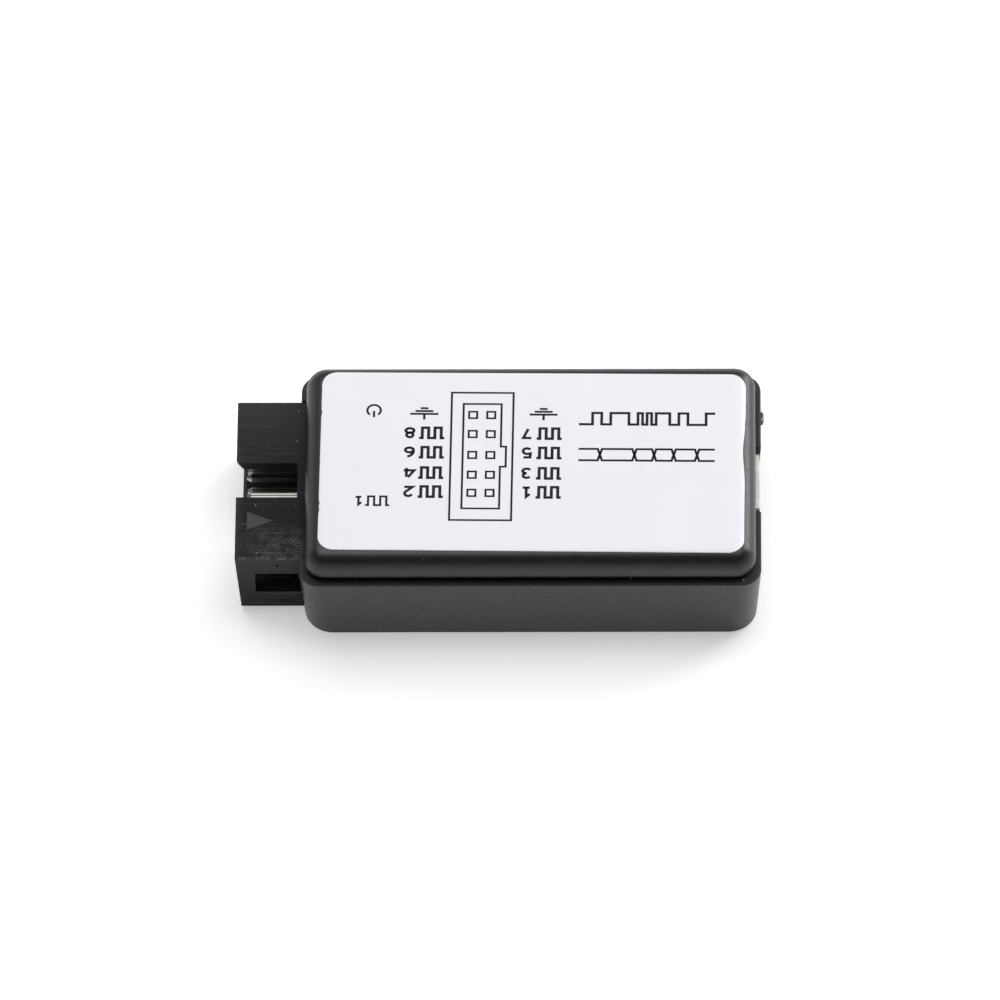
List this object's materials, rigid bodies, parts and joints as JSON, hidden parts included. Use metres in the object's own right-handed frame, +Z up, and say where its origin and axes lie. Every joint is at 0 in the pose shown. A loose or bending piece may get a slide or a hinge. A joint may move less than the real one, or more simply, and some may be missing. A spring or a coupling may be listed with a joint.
{
  "type": "logic analyzer",
  "caption": "Pocket logic analyzer: black clip-together case with a lift-off labelled cover, a box header for probe leads at one end and a mini USB socket at the other.",
  "frame": {"origin": "centre of the base face that the case stands on, without the header that sticks out at one end", "axes": "+X towards the USB end, -X towards the box header, +Z up out of the label, +Y completes the right-handed frame"},
  "size_m": [0.0566, 0.0278, 0.0128],
  "materials": {
    "case_plastic": "black satin moulded plastic with a fine spark texture",
    "label_paper": "white semi-gloss printed film label",
    "header_plastic": "black glass-filled connector plastic",
    "pin_metal": "bright tin plate",
    "solder": "smooth solder",
    "board_laminate": "green solder mask",
    "usb_steel": "bright nickel-plated sheet",
    "usb_plastic": "black insulator",
    "contact_gold": "gold flash",
    "chip_epoxy": "dark moulded epoxy",
    "lead_metal": "matte tin",
    "can_steel": "drawn steel can",
    "resistor_film": "black overglaze",
    "capacitor_ceramic": "unglazed tan ceramic",
    "tantalum_resin": "yellow-orange moulded resin",
    "fuse_resin": "dark green laminate",
    "end_cap_metal": "tinned end cap",
    "led_carrier": "white carrier",
    "led_lens": "clear resin lens"
  },
  "bodies": {
    "case": {"buffer_body": "chip_epoxy", "buffer_leads": "lead_metal", "capacitor_bodies": "capacitor_ceramic", "capacitor_end_caps": "end_cap_metal", "channel_led_carrier": "led_carrier", "channel_led_lens": "led_lens", "circuit_board": "board_laminate", "controller_body": "chip_epoxy", "controller_leads": "lead_metal", "crystal_base": "chip_epoxy", "crystal_can": "can_steel", "crystal_leads": "lead_metal", "fuse_body": "fuse_resin", "fuse_end_caps": "end_cap_metal", "header_pins_lower": "pin_metal", "header_pins_upper": "pin_metal", "header_shroud": "header_plastic", "header_solder": "solder", "led_end_caps": "end_cap_metal", "lower_case": "case_plastic", "memory_body": "chip_epoxy", "memory_leads": "lead_metal", "power_led_carrier": "led_carrier", "power_led_lens": "led_lens", "regulator_body": "chip_epoxy", "regulator_leads": "lead_metal", "resistor_array_bodies": "resistor_film", "resistor_array_end_caps": "end_cap_metal", "resistor_bodies": "resistor_film", "resistor_end_caps": "end_cap_metal", "tantalum_body": "tantalum_resin", "tantalum_end_caps": "end_cap_metal", "usb_contacts": "contact_gold", "usb_insulator": "usb_plastic", "usb_shell": "usb_steel", "usb_shell_solder": "solder"},
    "cover": {"cover": "case_plastic", "label": "label_paper"}
  },
  "joints": [
    {"name": "cover_lift", "type": "slide", "parent": "case", "child": "cover", "axis": [0, 0, 1], "range_m": [0, 0.025]}
  ]
}
